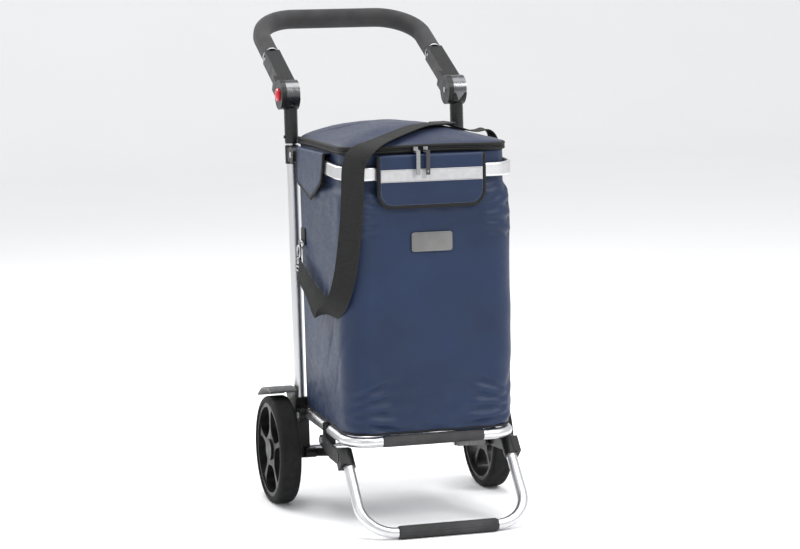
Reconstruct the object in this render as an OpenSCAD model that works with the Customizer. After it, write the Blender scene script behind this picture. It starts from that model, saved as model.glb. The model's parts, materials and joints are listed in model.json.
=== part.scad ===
// Folding two-wheeled shopping trolley with a lidded carry bag.
// Origin: on the ground, under the middle of the whole object. +Z up, -Y to the front.

/* [Frame] */
// Distance between the centre lines of the two uprights
upright_spacing = 323; // [320:1:326]
// Backward lean of the uprights, degrees
lean = 2.5; // [2:0.1:3]
// Height of the handle hinge centres above the ground
hinge_height = 757; // [740:1:780]
// Outer diameter of the lower, bare tubes
upright_d = 20; // [19:0.5:21]

/* [Wheels] */
// Wheel diameter
wheel_d = 200; // [196:1:204]
// Width over the outer faces of the two tyres
track = 452; // [448:1:460]
// Tyre width
tyre_w = 40; // [36:1:42]
// Number of spokes in each wheel
spoke_count = 5; // [5:1:6]

/* [Handle] */
// Backward tilt of the handle arms from the vertical, degrees
handle_tilt = 64; // [55:1:70]
// Length of the handle from the hinge centre to the middle of the grip bar
handle_reach = 300; // [280:1:330]
// Bend radius at the corners of the grip bar
handle_bend = 80; // [60:1:90]

/* [Hoop] */
// Half width of the bag hoop, on its tube's centre line
hoop_half_w = 158; // [158:0.5:159]
// Distance from the hoop pivots to the middle of its front bar
hoop_reach = 298.5; // [298:0.5:302]
// Downward slope of the hoop towards the front, degrees
hoop_drop = 3; // [2:0.5:3]

/* [Tray] */
// Half width of the load tray, on its tube's centre line
tray_half_w = 152; // [151:0.5:152]
// Distance from the tray pivots to the middle of its front bar
tray_reach = 266; // [262:1:268]
// Downward slope of the tray towards the front, degrees
tray_drop = 1.8; // [1.5:0.1:2]

/* [Stand] */
// Forward lean of the stand legs from the vertical, degrees
stand_lean = 42.3; // [41:0.1:43]
// Distance from the axle forward to the middle of the foot bar
foot_forward = 379; // [375:1:382]

/* [Bag] */
// Half width of the bag below the hoop
bag_half_w = 157; // [155:0.5:157]
// Distance from the axle forward to the front of the bag
bag_front = 305; // [300:1:305]
// Height of the zip line above the ground
zip_height = 666; // [662:1:670]
// Height of the top of the lid above the ground
lid_top_height = 712; // [705:1:715]

/* [Hidden] */
$fn = 64;
eps = 0.01;
axle_height = wheel_d / 2;
half_spacing = upright_spacing / 2;
upright_r = upright_d / 2;
tube_wall = 1.5;
gap = 0.3;

// Handle
hinge_w = (hinge_height - axle_height) / cos(lean);
hinge_y = hinge_w * sin(lean);
riser_r = 12.5;
riser_bore = upright_r + gap;
riser_bottom = hinge_w - 90.3;
upright_top = hinge_w - 29.6;
barrel_r = 27;
barrel_half = 12.5;
disc_r = 27.6;
disc_in = -12.8;
disc_out = -22;
cap_r = 28.4;
arm_half_w = 14.5;
arm_half_t = 15;
arm_end = 148;
pin_r = 6;
grip_tube_r = 11;
foam_r = 15.5;
foam_extra = 3.5;
button_r = 12;
button_pocket = 6.5;
button_back = 3;
snap_w = hinge_w - 78;

// Hoop
hoop_bracket_w = 547;
hoop_pivot_v = -30;
hoop_pivot_y = hoop_pivot_v * cos(lean) + hoop_bracket_w * sin(lean);
hoop_pivot_z = hoop_bracket_w * cos(lean) - hoop_pivot_v * sin(lean);
hoop_half_t = 4;
hoop_half_h = 12.5;
hoop_bend = 45;
lug_r = 15.5;

// Tray, stand and struts, measured from the axle
tray_tube_r = 9.5;
tray_pivot_y = -33;
tray_pivot_z = 67;
tray_bend = 42;
tray_tail = 8;
sleeve_half = 94;
sleeve_r = 10.5;
stand_pivot_y = -165;
stand_pivot_z = 43;
strut_front_y = -193;
strut_front_z = 25;
strut_rear_y = -22;
strut_rear_z = -7;
strut_in = 133;
strut_out = 139;
foot_r = 12;
foot_half = 92;
stand_bend = 60;
stand_length = 173;
foot_y = -foot_forward;
foot_z = foot_r - axle_height;

// Wheel
tyre_outer_x = track / 2;
tyre_inner_x = tyre_outer_x - tyre_w;
tyre_seat_r = wheel_d / 2 - 12;
rim_inner_r = tyre_seat_r - 8;
hub_r = 20;
axle_r = 4;
bearing_r = 11;
running = 0.05;

// Bag
bag_rear_v = -13;
bag_bend = 45;
neck_half_w = 150.5;
neck_front = 297;
neck_bottom = 608 - axle_height;
bag_wall = 4;
zip_z = zip_height - axle_height;
band_h = 14;
board_rear = 25;
dome_inset = 72;

// The whole object is centred front to back over the origin
grip_half_depth = foam_r + foam_extra * cos(handle_tilt);
rear_reach = hinge_y + handle_reach * sin(handle_tilt) + grip_half_depth;
axle_y = (foot_forward + foot_r - rear_reach) / 2;

// Shoulder strap: centre of the webbing, in mm from the axle, then the turn of its width about +Z
ring_y = -42;
strap_half_w = 20;
strap_half_t = 1.2;
strap_route = [
    [171, -62, 388, 90], [171.5, -72, 440, 90], [172, -96, 500, 90], [172, -128, 548, 90],
    [170, -150, 582, 90], [160, -168, 600, 90], [146, -178, 609, 90], [118, -182, 614, 92],
    [71, -182, 616.5, 96], [36, -200, 616.6, 108], [3, -222, 618, 120], [-38, -258, 611, 126],
    [-76, -288, 599.6, 132], [-108, -311, 588.8, 142], [-130, -319, 574, 156], [-143, -320, 548, 164],
    [-146, -320, 500, 164], [-149, -319, 450, 162], [-154, -315, 400, 158], [-160, -307, 350, 150],
    [-168, -286, 308, 134], [-174, -240, 283, 115], [-175, -180, 296, 98], [-174, -112, 318, 90],
    [-173, -84, 328, 90]
];

// Frames

module axle_frame() {
    translate([0, axle_y, axle_height]) children();
}

// +Z runs up along the uprights
module leaned() {
    axle_frame() rotate([-lean, 0, 0]) children();
}

// +Z runs along the handle arms, from the hinge centres
module handle_frame() {
    axle_frame() translate([0, hinge_y, hinge_height - axle_height])
        rotate([-handle_tilt, 0, 0]) children();
}

// -Y runs forward along the hoop, from its pivots
module hoop_frame() {
    axle_frame() translate([0, hoop_pivot_y, hoop_pivot_z]) rotate([hoop_drop, 0, 0]) children();
}

// -Y runs forward along the tray, from its pivots
module tray_frame() {
    axle_frame() translate([0, tray_pivot_y, tray_pivot_z]) rotate([tray_drop, 0, 0]) children();
}

// -Y runs down along the stand legs to the foot bar at y = -stand_length
module stand_frame() {
    axle_frame() translate([0, foot_y, foot_z]) rotate([90 - stand_lean, 0, 0])
        translate([0, stand_length, 0]) children();
}

// Draws the right-hand shape and its mirror image
module both_sides() {
    children();
    mirror([1, 0, 0]) children();
}

// Basic shapes

module rod_x(x0, x1, r) {
    translate([x0, 0, 0]) rotate([0, 90, 0]) cylinder(r = r, h = x1 - x0);
}

module pipe_x(x0, x1, r, bore) {
    difference() {
        rod_x(x0, x1, r);
        rod_x(x0 - 1, x1 + 1, bore);
    }
}

// Extrudes a side view, drawn as (y, z), from x0 to x1
module side_plate(x0, x1) {
    translate([x0, 0, 0]) rotate([90, 0, 90]) linear_extrude(x1 - x0) children();
}

// A straight bar between two points of a side view
module link(p, q, w) {
    d = q - p;
    translate(p) rotate(atan2(d[1], d[0])) translate([0, -w / 2]) square([norm(d), w]);
    translate(p) circle(w / 2);
    translate(q) circle(w / 2);
}

module ring(r_out, r_in) {
    difference() {
        circle(r_out);
        circle(r_in);
    }
}

// Sweeps a section round a U that opens towards +Y, with its bar at y = -reach
module u_sweep(half_w, reach, bend, start = 0) {
    for (s = [-1, 1]) {
        translate([s * half_w, start, 0]) rotate([90, 0, 0])
            linear_extrude(reach - bend + start) children();
        translate([s * (half_w - bend), bend - reach, 0]) rotate([0, 0, s > 0 ? -90 : 180])
            rotate_extrude(angle = 90) translate([bend, 0]) children();
    }
    translate([bend - half_w, -reach, 0]) rotate([90, 0, 90])
        linear_extrude(2 * (half_w - bend)) children();
}

// Frame

module uprights() {
    color("silver") leaned() both_sides() translate([half_spacing, 0, 12])
        linear_extrude(upright_top - 12) ring(upright_r, upright_r - tube_wall);
}

module hoop_brackets() {
    collar_h = 34;
    color("#1c1c1e") leaned() both_sides() difference() {
        translate([0, 0, hoop_bracket_w]) union() {
            translate([half_spacing, 0, -collar_h / 2]) cylinder(r = riser_r, h = collar_h);
            translate([0, hoop_pivot_v, 0]) rod_x(162.5, 172, lug_r);
            translate([162.5, hoop_pivot_v, -13]) cube([9.5, -hoop_pivot_v, 26]);
        }
        translate([half_spacing, 0, 0]) cylinder(r = upright_r, h = upright_top);
        translate([0, hoop_pivot_v, hoop_bracket_w]) rod_x(160, 174, 4);
    }
}

module hoop_pivot_bolts() {
    color("gray") leaned() both_sides() translate([0, hoop_pivot_v, hoop_bracket_w]) {
        rod_x(153.8, 173.2, 4);
        rod_x(151.8, 153.8, 7);
        rod_x(172, 173.2, 6);
    }
}

module axle_brackets() {
    collar_in = 148;
    collar_out = 175;
    collar_top = 95;
    color("#161617") both_sides() difference() {
        union() {
            leaned() translate([collar_in, -12.5, -18])
                cube([collar_out - collar_in, 27, collar_top + 18]);
            axle_frame() {
                side_plate(163, collar_out - 1)
                    link([tray_pivot_y, tray_pivot_z], [4, tray_pivot_z], 24);
                side_plate(140, 160) link([strut_rear_y, strut_rear_z], [4, strut_rear_z], 18);
            }
        }
        leaned() translate([half_spacing, 0, 12]) cylinder(r = upright_r, h = 100);
        axle_frame() {
            rod_x(130, 190, axle_r);
            translate([0, tray_pivot_y, tray_pivot_z]) rod_x(150, 190, 3.5);
            translate([0, strut_rear_y, strut_rear_z]) rod_x(130, 170, 3);
        }
    }
}

// A curved plate over the back and top of each tyre, on a web beside the axle bracket
module mudguards() {
    guard_r = 114;
    color("#39393b") axle_frame() both_sides() {
        rotate([0, 90, 0]) rotate([0, 0, 144]) rotate_extrude(angle = 50)
            translate([guard_r, 175]) square([3, 51]);
        side_plate(175, 178) difference() {
            intersection() {
                circle(guard_r + 1);
                polygon([[-14, 62], [16, 62], [46, 108], [40, 125], [-29, 125], [-24, 104]]);
            }
            circle(60);
        }
    }
}

module axle() {
    color("lightgray") axle_frame() rod_x(4 - tyre_outer_x + 6, tyre_outer_x - 10, axle_r);
}

module axle_spacers() {
    color("#2a2a2a") axle_frame() both_sides() pipe_x(175, tyre_inner_x - gap, 7, axle_r);
}

module axle_retainers() {
    color("gray") axle_frame() both_sides() {
        pipe_x(tyre_outer_x - 12.5, tyre_outer_x - 10, 7, axle_r);
        rod_x(tyre_outer_x - 10, tyre_outer_x - 8, 7);
    }
}

module tray_pivot_bolts() {
    color("gray") axle_frame() both_sides() translate([0, tray_pivot_y, tray_pivot_z]) {
        rod_x(141, 177, 3.5);
        rod_x(175, 177.2, 6);
        rod_x(139.8, 141.6, 6);
    }
}

module strut_pivot_bolts() {
    color("gray") axle_frame() both_sides() translate([0, strut_rear_y, strut_rear_z]) {
        rod_x(131, 146, 3);
        rod_x(130, 132.5, 5.5);
    }
}

// Handle risers and hinges

module riser_tubes() {
    color("#1b1b1c") leaned() both_sides() translate([half_spacing, 0, 0]) difference() {
        translate([0, 0, riser_bottom]) cylinder(r = riser_r, h = hinge_w - 20 - riser_bottom);
        translate([0, 0, riser_bottom - 1]) cylinder(r = riser_bore, h = 100);
        translate([0, 0, hinge_w]) rod_x(-20, 20, cap_r + running);
        translate([0, 0, snap_w]) rod_x(8, 20, 3.3);
    }
}

module each_hinge() {
    for (s = [-1, 1]) leaned() translate([s * half_spacing, 0, hinge_w]) children();
}

module hinge_bases() {
    color("#8d8f93") each_hinge() pipe_x(-barrel_half, barrel_half, barrel_r, pin_r + running);
}

// A black shell round the lower half of each hinge barrel, with a pointed notch at the front
module riser_caps() {
    color("#1b1b1c") each_hinge() difference() {
        rod_x(-barrel_half, barrel_half, cap_r);
        rod_x(-20, 20, barrel_r);
        translate([-20, -40, -6.5]) cube([40, 80, 60]);
        rotate([90, 0, 0]) linear_extrude(40)
            polygon([[-9.2, 0], [-9.2, -6.6], [0, -24], [9.2, -6.6], [9.2, 0]]);
    }
}

module snap_button(side) {
    color("#3a3a3c") leaned() translate([side * half_spacing, 0, snap_w])
        mirror([side > 0 ? 0 : 1, 0, 0]) {
        rod_x(11.9, 13.9, 3);
        rod_x(13.9, 14.5, 2.4);
    }
}

module left_snap_button() {
    snap_button(-1);
}

module right_snap_button() {
    snap_button(1);
}

// Handle

// One arm about x = 0: a moulded sleeve with a hinge disc on its -X side
module arm() {
    difference() {
        union() {
            rod_x(disc_out, disc_in, disc_r);
            translate([disc_out, -arm_half_t, 0]) cube([disc_in - disc_out, 2 * arm_half_t, 46]);
            difference() {
                translate([disc_in - eps, -arm_half_t, 10])
                    cube([arm_half_w - disc_in, 2 * arm_half_t, arm_end - 10]);
                rod_x(disc_in, 40, cap_r + 0.4);
            }
            translate([-arm_half_w, -arm_half_t, 46 - eps])
                cube([2, 2 * arm_half_t, arm_end - 46]);
        }
        translate([0, 0, 68]) cylinder(r = grip_tube_r, h = 100);
    }
}

module left_arm() {
    color("#232325") handle_frame() translate([-half_spacing, 0, 0]) difference() {
        arm();
        rod_x(disc_out - 1, disc_out + button_pocket, button_r + gap);
    }
}

module right_arm() {
    color("#232325") handle_frame() translate([half_spacing, 0, 0]) difference() {
        arm();
        rod_x(disc_out - 1, disc_in + 1, 2.5);
    }
}

module hinge_pins() {
    color("gray") handle_frame() for (s = [-1, 1]) translate([s * half_spacing, 0, 0]) {
        rod_x(disc_in, barrel_half + 1, pin_r);
        rod_x(barrel_half + gap, barrel_half + 1.8, 9);
    }
}

module right_hinge_screw() {
    color("gray") handle_frame() translate([half_spacing, 0, 0]) difference() {
        union() {
            rod_x(disc_out - 1.4, disc_out, 5);
            rod_x(disc_out, disc_in, 2.5);
        }
        translate([disc_out - 2, -0.6, -3.4]) cube([1.3, 1.2, 6.8]);
        translate([disc_out - 2, -3.4, -0.6]) cube([1.3, 6.8, 1.2]);
    }
}

module arm_rivets() {
    color("gray") handle_frame() for (s = [-1, 1])
        translate([s * half_spacing, 0, arm_end - 9]) rod_x(-arm_half_w - 1, -arm_half_w, 3);
}

module handle_u(start, half_w = half_spacing) {
    handle_frame() rotate([-90, 0, 0]) translate([0, -start, 0])
        u_sweep(half_w, handle_reach - start, handle_bend) children();
}

module grip_tube() {
    color("silver") handle_u(68) ring(grip_tube_r, grip_tube_r - tube_wall);
}

module foam_section() {
    difference() {
        union() {
            for (s = [-1, 1]) translate([0, s * foam_extra]) circle(foam_r);
            square([2 * foam_r, 2 * foam_extra], center = true);
        }
        circle(grip_tube_r);
    }
}

module foam_grip() {
    color("#2b2c2e") handle_u(arm_end + 1.5) foam_section();
}

module release_button() {
    color("#b3121d") handle_frame() translate([-half_spacing, 0, 0]) {
        rod_x(disc_out - 3, disc_out + button_back, button_r);
        translate([disc_out - 3 + 18.8, 0, 0]) intersection() {
            sphere(r = 22.3);
            rod_x(-23, -18.8 + eps, button_r);
        }
    }
}

module button_spring() {
    color("silver") handle_frame() translate([-half_spacing, 0, 0])
        pipe_x(disc_out + button_back, disc_out + button_pocket, 7, 5.5);
}

// Hoop

module hoop_section() {
    r = hoop_half_t;
    difference() {
        union() {
            for (s = [-1, 1]) translate([0, s * (hoop_half_h - r)]) circle(r);
            square([2 * r, 2 * (hoop_half_h - r)], center = true);
        }
        square([2 * r - 3, 2 * (hoop_half_h - r)], center = true);
    }
}

module hoop_tube() {
    color("silver") hoop_frame() u_sweep(hoop_half_w, hoop_reach, hoop_bend, -lug_r) hoop_section();
}

module hoop_lugs() {
    color("#1c1c1e") hoop_frame() both_sides() difference() {
        union() {
            rod_x(hoop_half_w - hoop_half_t, hoop_half_w + hoop_half_t, lug_r);
            translate([hoop_half_w - 2.4, -30, -8]) cube([4.8, 28, 16]);
        }
        rod_x(150, 170, 4 + running);
    }
}

// Tray

module tray_tube() {
    color("silver") difference() {
        tray_frame() u_sweep(tray_half_w, tray_reach, tray_bend, tray_tail)
            ring(tray_tube_r, tray_tube_r - tube_wall);
        tray_frame() rod_x(-180, 180, 3.5 + running);
    }
}

module tray_sleeve() {
    color("#2b2c2e") tray_frame() translate([0, -tray_reach, 0])
        pipe_x(-sleeve_half, sleeve_half, sleeve_r, tray_tube_r);
}

// A saddle under each tray rail that carries the stand pivot
module stand_mounts() {
    mount_y = stand_pivot_y - tray_pivot_y;
    color("#1c1c1e") difference() {
        tray_frame() both_sides() difference() {
            translate([0, mount_y, 0]) union() {
                rod_block(tray_half_w - 11.5, tray_half_w + 9.8, 22, -12, 10.5);
                translate([tray_half_w - 9, 0, 0]) side_block(18, 16, -28, -8);
            }
            translate([tray_half_w, 100, 0]) rotate([90, 0, 0]) cylinder(r = tray_tube_r, h = 400);
        }
        axle_frame() translate([0, stand_pivot_y, stand_pivot_z]) rod_x(-200, 200, 3);
    }
}

module rod_block(x0, x1, depth, z0, z1) {
    translate([x0, -depth / 2, z0]) cube([x1 - x0, depth, z1 - z0]);
}

module side_block(width, depth, z0, z1) {
    translate([0, -depth / 2, z0]) cube([width, depth, z1 - z0]);
}

module stand_pivot_bolts() {
    color("gray") axle_frame() both_sides() translate([0, stand_pivot_y, stand_pivot_z]) {
        rod_x(142, 170.5, 3);
        rod_x(169.3, 171.3, 5.5);
    }
}

// Stand

module stand_tube() {
    color("silver") stand_frame() u_sweep(tray_half_w, stand_length, stand_bend)
        ring(tray_tube_r, tray_tube_r - tube_wall);
}

module stand_foot() {
    color("#232325") stand_frame() translate([0, -stand_length, 0])
        pipe_x(-foot_half, foot_half, foot_r, tray_tube_r);
}

// Each bracket holds a stand leg, and swings on the tray by a cheek outside the rail
module stand_brackets() {
    socket_length = 38;
    cheek_in = tray_half_w + 10.3;
    color("#1c1c1e") both_sides() difference() {
        union() {
            stand_frame() {
                translate([tray_half_w, 0, 0]) rotate([90, 0, 0]) cylinder(r = 12.5, h = socket_length - 3);
                translate([tray_half_w, -socket_length + 5, -11.7])
                    cube([16.4, socket_length - 6, 23.4]);
            }
            axle_frame() {
                side_plate(cheek_in, cheek_in + 7) {
                    link([stand_pivot_y, stand_pivot_z], [-222, 33], 20);
                    link([-222, 33], [-268, 31], 24);
                }
                side_plate(tray_half_w - 11, tray_half_w - 5)
                    polygon([[-186, 18], [-186, 32], [-268, 40], [-268, 22]]);
            }
        }
        stand_frame() translate([tray_half_w, 0, 0]) rotate([90, 0, 0]) cylinder(r = tray_tube_r, h = 60);
        axle_frame() translate([0, stand_pivot_y, stand_pivot_z]) rod_x(140, 200, 3 + running);
    }
}

module fold_struts() {
    color("#121213") axle_frame() both_sides() difference() {
        side_plate(strut_in, strut_out)
            link([strut_rear_y, strut_rear_z], [strut_front_y, strut_front_z], 15);
        translate([0, strut_rear_y, strut_rear_z]) rod_x(120, 150, 3 + running);
    }
}

// Wheels, drawn for the right-hand side

// One opening between two spokes, wide in the middle and rounded at its corners
function window_point(t) =
    let (
        c = cos(t),
        s = sin(t),
        radial = sign(c) * pow(abs(c), 0.45),
        across = sign(s) * pow(abs(s), 0.45),
        r = 55.5 + 25.5 * radial,
        spoke_half = 4 + 5 * pow(abs(r - 50) / 30, 2),
        span = 180 / spoke_count - asin(spoke_half / r)
    )
    [r * cos(span * across), r * sin(span * across)];

module rim() {
    web_x0 = tyre_outer_x - 30;
    web_x1 = tyre_outer_x - 5;
    difference() {
        union() {
            pipe_x(tyre_inner_x + 2, tyre_outer_x - 2, tyre_seat_r, rim_inner_r);
            rod_x(web_x0, web_x1, rim_inner_r + 1);
            rod_x(tyre_inner_x, tyre_outer_x - 4, hub_r);
        }
        for (k = [0 : spoke_count - 1])
            translate([web_x0 - 1, 0, 0]) rotate([0, 90, 0]) rotate(360 / spoke_count * (k + 0.5) + 180)
                linear_extrude(web_x1 - web_x0 + 2) polygon([for (t = [0 : 9 : 351]) window_point(t)]);
        rod_x(tyre_inner_x - 1, tyre_outer_x - 12.8, bearing_r);
        rod_x(tyre_outer_x - 13, tyre_outer_x, 8);
    }
}

module tyre() {
    shoulder = 8;
    rotate([0, 90, 0]) rotate_extrude() difference() {
        union() {
            translate([tyre_seat_r, tyre_inner_x]) square([12 - shoulder, tyre_w]);
            translate([wheel_d / 2 - shoulder, tyre_inner_x + shoulder])
                square([shoulder, tyre_w - 2 * shoulder]);
            for (x = [tyre_inner_x + shoulder, tyre_outer_x - shoulder])
                translate([wheel_d / 2 - shoulder, x]) circle(shoulder);
        }
        translate([tyre_seat_r - 20, tyre_inner_x - 1]) square([20, tyre_w + 2]);
    }
}

module hub_cap() {
    rod_x(tyre_outer_x - 4, tyre_outer_x - 1, hub_r - 0.5);
}

module bearings() {
    for (x = [tyre_inner_x + 0.1, tyre_outer_x - 21])
        pipe_x(x, x + 8, bearing_r, axle_r + running);
}

module left_rim() {
    color("#2e2e30") axle_frame() mirror([1, 0, 0]) rim();
}

module left_tyre() {
    color("#1a1a1b") axle_frame() mirror([1, 0, 0]) tyre();
}

module left_hub_cap() {
    color("#3b3b3d") axle_frame() mirror([1, 0, 0]) hub_cap();
}

module left_bearings() {
    color("silver") axle_frame() mirror([1, 0, 0]) bearings();
}

module right_rim() {
    color("#2e2e30") axle_frame() rim();
}

module right_tyre() {
    color("#1a1a1b") axle_frame() tyre();
}

module right_hub_cap() {
    color("#3b3b3d") axle_frame() hub_cap();
}

module right_bearings() {
    color("silver") axle_frame() bearings();
}

// Bag

// Plan view of the bag: square at the back, with round front corners
module bag_plan(half_w, front, bend) {
    translate([-half_w, bend - front]) square([2 * half_w, front - bend + 60]);
    translate([bend - half_w, -front]) square([2 * (half_w - bend), bend + 1]);
    for (s = [-1, 1]) translate([s * (half_w - bend), bend - front]) circle(bend);
}

// Everything behind the plane that runs up the front of the uprights
module behind(inset = 0) {
    leaned() translate([-300, bag_rear_v - inset, -200]) cube([600, 300, 1200]);
}

// A bag form from the tray up to the rim, drawn smaller all round by inset
module bag_form(inset, top) {
    difference() {
        axle_frame() {
            translate([0, 0, 40]) linear_extrude(neck_bottom - inset - 40)
                bag_plan(bag_half_w - inset, bag_front - inset, bag_bend - inset);
            translate([0, 0, neck_bottom - inset - 1]) linear_extrude(top - neck_bottom + inset + 1)
                bag_plan(neck_half_w - inset, neck_front - inset, bag_bend - inset);
        }
        behind(inset);
        tray_frame() translate([-300, -500, -100 + 11 + inset]) cube([600, 700, 100]);
    }
}

module bag_body() {
    color("#2c3a5c") difference() {
        bag_form(0, zip_z - 0.5);
        bag_form(bag_wall, zip_z + 10);
    }
}

// A stiff board that lies on the tray inside the bag, ahead of the tray's pivot
module bag_base_board() {
    color("#222222") intersection() {
        bag_form(bag_wall + 2, zip_z);
        tray_frame() translate([-300, -500, 11 + bag_wall]) cube([600, 500 - board_rear, 4.5]);
    }
}

module front_flap() {
    color("#33507f") axle_frame() translate([0, -bag_front, 0]) {
        translate([-97, -11, 472]) cube([194, 5, 91]);
        translate([-97, -11, 559]) cube([194, 18, 4]);
    }
}

module reflective_strip() {
    color("#c4c7cb") axle_frame() translate([-92, -bag_front - 12.2, 517]) cube([184, 1.2, 22]);
}

// A bound flap on each side that folds over the hoop, with a lip back to the rim of the bag
module side_flaps() {
    outline = [[-26, 565], [-26, 500], [-110, 476], [-188, 512], [-180, 530], [-205, 565]];
    color("#2c3a5c") axle_frame() both_sides() {
        side_plate(163.5, 166.5) polygon(outline);
        translate([neck_half_w + gap, -205, 561]) cube([163.6 - neck_half_w - gap, 179, 4]);
    }
}

module label_plate() {
    color("#7c7f83") axle_frame() translate([0, -bag_front - 2, 407]) rotate([90, 0, 0])
        translate([-38, -17.5, -1.9]) linear_extrude(2.5) label_outline();
}

module label_outline() {
    square([76, 35]);
}

module strap_rings() {
    color("#2a2a2c") axle_frame() both_sides() translate([0, ring_y, 0]) {
        translate([157.2, -14, 388]) cube([2.4, 28, 26]);
        translate([163, 0, 380]) rotate([0, 90, 0]) rotate_extrude() translate([13, 0]) circle(2.2);
    }
}

module snap_hooks() {
    color("#4a4b4f") axle_frame() both_sides() translate([170.5, ring_y, 0]) {
        translate([0, 0, 352]) rotate([0, 90, 0]) rotate_extrude() translate([11, 0]) circle(2.6);
        translate([0, 0, 330]) cylinder(r = 4, h = 10);
    }
}

// A short length of webbing, one step of the strap
module strap_step(p) {
    translate([p[0], p[1], p[2]]) rotate([0, 0, p[3]])
        cube([2 * strap_half_w, 2 * strap_half_t, 2 * strap_half_t], center = true);
}

module shoulder_strap() {
    color("#19191a") axle_frame() for (k = [0 : len(strap_route) - 2]) hull() {
        strap_step(strap_route[k]);
        strap_step(strap_route[k + 1]);
    }
}

slider_x = [-27, -9];
slider_front = 309;
pull_axis_y = -311;
pull_axis_z = zip_z + 5;

module zip_sliders() {
    color("#77797c") axle_frame() for (x = slider_x)
        translate([x - 4, -slider_front, zip_z + 1.2]) cube([8, slider_front - neck_front - 3.8, 10]);
}

// Lid

module lid_solid(inset) {
    base = zip_z + (inset > 0 ? -1 : 0);
    half_w = neck_half_w + 0.5 - inset;
    front = neck_front + 1.5 - inset;
    top = lid_top_height - axle_height - inset;
    difference() {
        axle_frame() {
            translate([0, 0, base]) linear_extrude(zip_z + band_h - base)
                bag_plan(half_w, front, bag_bend - inset);
            hull() {
                translate([0, 0, zip_z + band_h - 0.5]) linear_extrude(0.5)
                    bag_plan(half_w, front, bag_bend - inset, $fn = 32);
                translate([0, 0, zip_z + band_h + 14]) linear_extrude(0.5)
                    bag_plan(half_w - 20, front - 20, bag_bend - inset, $fn = 32);
                translate([0, -30, top - 0.5]) linear_extrude(0.5)
                    bag_plan(half_w - dome_inset, front - 30 - dome_inset, 30, $fn = 32);
            }
        }
        behind(inset);
    }
}

module bag_lid() {
    color("#2f3f66") difference() {
        lid_solid(0);
        lid_solid(bag_wall);
    }
}

module lid_zip_band() {
    color("#161617") difference() {
        axle_frame() translate([0, 0, zip_z + 1]) linear_extrude(11)
            bag_plan(neck_half_w + 2.5, neck_front + 3.5, bag_bend + 2);
        axle_frame() translate([0, 0, zip_z]) linear_extrude(13)
            bag_plan(neck_half_w + 0.5, neck_front + 1.5, bag_bend);
        behind();
        axle_frame() for (x = slider_x) translate([x - 4.3, -neck_front - 20, zip_z])
            cube([8.6, 20, 13]);
    }
}

// A flat tag that lies over the front flap and hooks back to its slider
module zip_pull(x) {
    tag_y = -bag_front - 18.5;
    color("#55575b") axle_frame() difference() {
        union() {
            translate([x - 3.5, tag_y, pull_axis_z - 42]) cube([7, 2.2, 43]);
            translate([x - 2, tag_y, pull_axis_z - 1]) cube([4, pull_axis_y - tag_y, 2]);
            translate([0, pull_axis_y, pull_axis_z]) rod_x(x - 3.4, x + 3.4, 1.4);
        }
        translate([x, tag_y - 1, pull_axis_z - 36]) rotate([-90, 0, 0]) cylinder(r = 1.6, h = 6);
    }
}

module left_zip_pull() {
    zip_pull(slider_x[0]);
}

module right_zip_pull() {
    zip_pull(slider_x[1]);
}

uprights();
hoop_brackets();
hoop_pivot_bolts();
axle_brackets();
mudguards();
axle();
axle_spacers();
axle_retainers();
tray_pivot_bolts();
strut_pivot_bolts();
riser_tubes();
hinge_bases();
riser_caps();
left_snap_button();
right_snap_button();
left_arm();
right_arm();
hinge_pins();
right_hinge_screw();
arm_rivets();
grip_tube();
foam_grip();
release_button();
button_spring();
hoop_tube();
hoop_lugs();
tray_tube();
tray_sleeve();
stand_mounts();
stand_pivot_bolts();
stand_tube();
stand_foot();
stand_brackets();
fold_struts();
left_rim();
left_tyre();
left_hub_cap();
left_bearings();
right_rim();
right_tyre();
right_hub_cap();
right_bearings();
bag_body();
bag_base_board();
front_flap();
reflective_strip();
side_flaps();
label_plate();
strap_rings();
snap_hooks();
shoulder_strap();
zip_sliders();
bag_lid();
lid_zip_band();
left_zip_pull();
right_zip_pull();
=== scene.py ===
import json
import math

import bpy
from mathutils import Matrix, Vector, noise
from mathutils.bvhtree import BVHTree

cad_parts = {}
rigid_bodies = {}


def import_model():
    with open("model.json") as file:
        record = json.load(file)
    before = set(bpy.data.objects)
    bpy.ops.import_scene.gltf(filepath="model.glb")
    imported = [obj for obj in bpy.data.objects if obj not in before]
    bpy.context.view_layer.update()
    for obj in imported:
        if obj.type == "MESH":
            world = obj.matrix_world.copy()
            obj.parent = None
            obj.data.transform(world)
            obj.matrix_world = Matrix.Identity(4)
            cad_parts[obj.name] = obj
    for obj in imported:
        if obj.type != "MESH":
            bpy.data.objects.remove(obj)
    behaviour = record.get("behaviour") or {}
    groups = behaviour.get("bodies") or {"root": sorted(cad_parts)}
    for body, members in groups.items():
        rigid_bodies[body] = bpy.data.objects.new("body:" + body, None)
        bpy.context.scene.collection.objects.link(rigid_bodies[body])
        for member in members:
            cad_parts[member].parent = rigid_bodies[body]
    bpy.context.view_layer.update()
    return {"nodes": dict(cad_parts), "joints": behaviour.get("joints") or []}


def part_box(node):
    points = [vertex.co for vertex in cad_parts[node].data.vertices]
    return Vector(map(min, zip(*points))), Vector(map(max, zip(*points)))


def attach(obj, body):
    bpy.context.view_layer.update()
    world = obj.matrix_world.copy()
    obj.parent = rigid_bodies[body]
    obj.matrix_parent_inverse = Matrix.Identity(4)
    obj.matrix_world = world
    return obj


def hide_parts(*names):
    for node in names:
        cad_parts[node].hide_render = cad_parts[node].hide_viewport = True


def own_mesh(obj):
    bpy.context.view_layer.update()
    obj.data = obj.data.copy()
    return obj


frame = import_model()

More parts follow.
